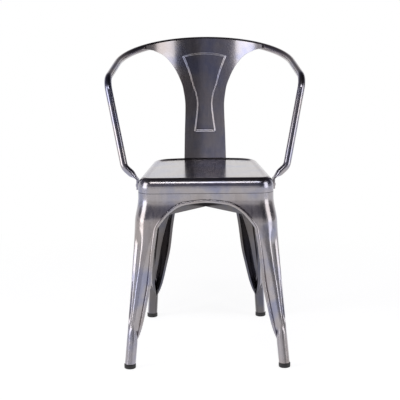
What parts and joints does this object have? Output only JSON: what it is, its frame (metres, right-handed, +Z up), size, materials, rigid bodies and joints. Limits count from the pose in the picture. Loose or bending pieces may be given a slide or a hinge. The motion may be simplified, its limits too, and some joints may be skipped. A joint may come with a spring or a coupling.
{
  "type": "bistro armchair",
  "caption": "Pressed sheet-metal bistro armchair with arched aprons, splayed channel legs, a bent tube for the arms and back rail, and a curved back splat with an embossed panel.",
  "frame": {"origin": "on the floor, under the middle of the chair's bounding box", "axes": "+Z up, +Y towards the back rail, +X towards the right as seen from the front, which is the sitter's left"},
  "size_m": [0.4888, 0.4938, 0.7641],
  "materials": {
    "steel": "brushed and clear lacquered",
    "rubber": "moulded"
  },
  "bodies": {
    "root": {"seat_pan": "steel", "leg_front_left": "steel", "leg_front_right": "steel", "leg_rear_left": "steel", "leg_rear_right": "steel", "arm_back_tube": "steel", "back_splat": "steel", "brace_bar_lower": "steel", "brace_bar_upper": "steel", "arm_rivets": "steel", "foot_front_left": "rubber", "foot_front_right": "rubber", "foot_rear_left": "rubber", "foot_rear_right": "rubber"}
  },
  "joints": []
}
